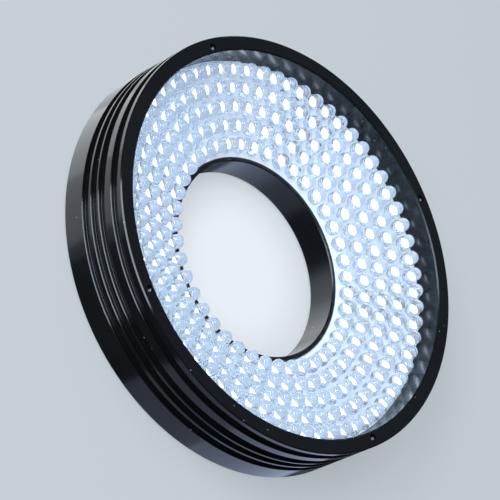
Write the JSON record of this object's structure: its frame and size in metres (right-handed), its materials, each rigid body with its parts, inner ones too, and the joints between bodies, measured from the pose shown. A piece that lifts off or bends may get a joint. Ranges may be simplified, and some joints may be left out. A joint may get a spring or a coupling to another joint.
{
  "type": "led ring light",
  "caption": "Machined black ring light with a through bore, a grooved outer wall and a conical board of clear domed LEDs that aim at one spot in front of the bore.",
  "frame": {"origin": "centre of the flat back face that the light is mounted or stood on", "axes": "+Z along the bore axis, from the back face towards the lit side; +X through the first tapped hole of the front rim; the cable inlet points to +Y"},
  "size_m": [0.09, 0.09, 0.018],
  "materials": {
    "housing_black": "black anodised aluminium, fine turned satin",
    "tube_black": "black anodised aluminium, satin",
    "cover_black": "black anodised aluminium, satin",
    "screw_steel": "blackened steel",
    "insert_brass": "plain",
    "board_white": "white solder mask",
    "led_epoxy": "clear water-white epoxy, lit",
    "solder": "bright solder",
    "film": "amber insulating film",
    "driver_pcb": "green solder mask",
    "spacer_brass": "plain",
    "resistor_black": "moulded",
    "chip_black": "moulded",
    "capacitor_tan": "fired ceramic",
    "terminal_green": "moulded",
    "pin_brass": "plain",
    "grommet_rubber": "soft black"
  },
  "bodies": {
    "root": {"outer_housing": "housing_black", "bore_tube": "tube_black", "back_cover": "cover_black", "cover_screws": "screw_steel", "mount_inserts": "insert_brass", "led_board": "board_white", "led_row_1": "led_epoxy", "led_row_2": "led_epoxy", "led_row_3": "led_epoxy", "led_row_4": "led_epoxy", "led_row_5": "led_epoxy", "led_solder_joints": "solder", "insulation_film": "film", "driver_board": "driver_pcb", "board_spacers": "spacer_brass", "board_screws": "screw_steel", "current_resistors": "resistor_black", "driver_chips": "chip_black", "input_capacitors": "capacitor_tan", "wire_terminal": "terminal_green", "link_pins": "pin_brass", "cable_grommet": "grommet_rubber"}
  },
  "joints": []
}
